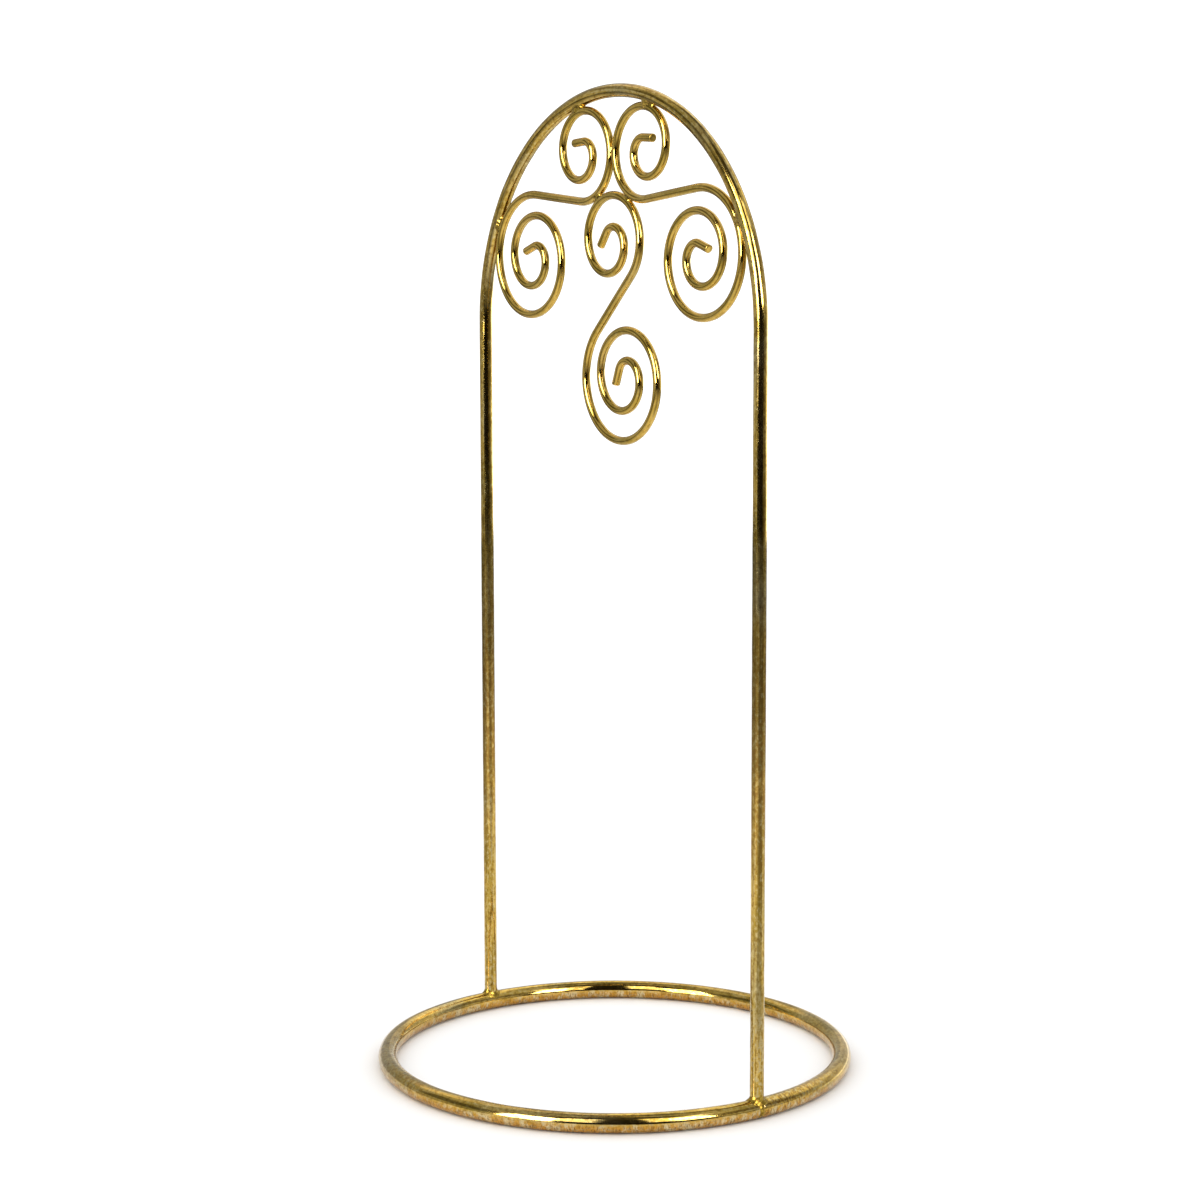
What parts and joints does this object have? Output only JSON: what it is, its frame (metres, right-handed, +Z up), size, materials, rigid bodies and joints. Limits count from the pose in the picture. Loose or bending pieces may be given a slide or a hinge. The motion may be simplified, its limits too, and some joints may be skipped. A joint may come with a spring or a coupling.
{
  "type": "wreath frame",
  "caption": "Tabletop wreath and ornament frame of brass-plated wire: round base ring, tall arch, and curled scrollwork whose lowest curl carries the wreath.",
  "frame": {"origin": "middle of the base ring, on the surface that the frame stands on", "axes": "+Z up; the arch and its scrolls lie in the XZ plane, and the feet are at -X and +X"},
  "size_m": [0.1146, 0.1146, 0.2335],
  "materials": {
    "ring_brass": "polished plate, rubbed and tarnished underneath",
    "arch_brass": "polished plate with fine lengthwise draw lines",
    "scroll_brass": "bright polished plate",
    "weld_brass": "plated weld bead, slightly rough"
  },
  "bodies": {
    "root": {"base_ring": "ring_brass", "arch_wire": "arch_brass", "left_scroll": "scroll_brass", "right_scroll": "scroll_brass", "centre_scroll": "scroll_brass", "left_foot_weld": "weld_brass", "right_foot_weld": "weld_brass", "upper_left_weld": "weld_brass", "upper_right_weld": "weld_brass", "lower_left_weld": "weld_brass", "lower_right_weld": "weld_brass", "middle_weld": "weld_brass", "centre_left_weld": "weld_brass", "centre_right_weld": "weld_brass", "ring_butt_weld": "weld_brass"}
  },
  "joints": []
}
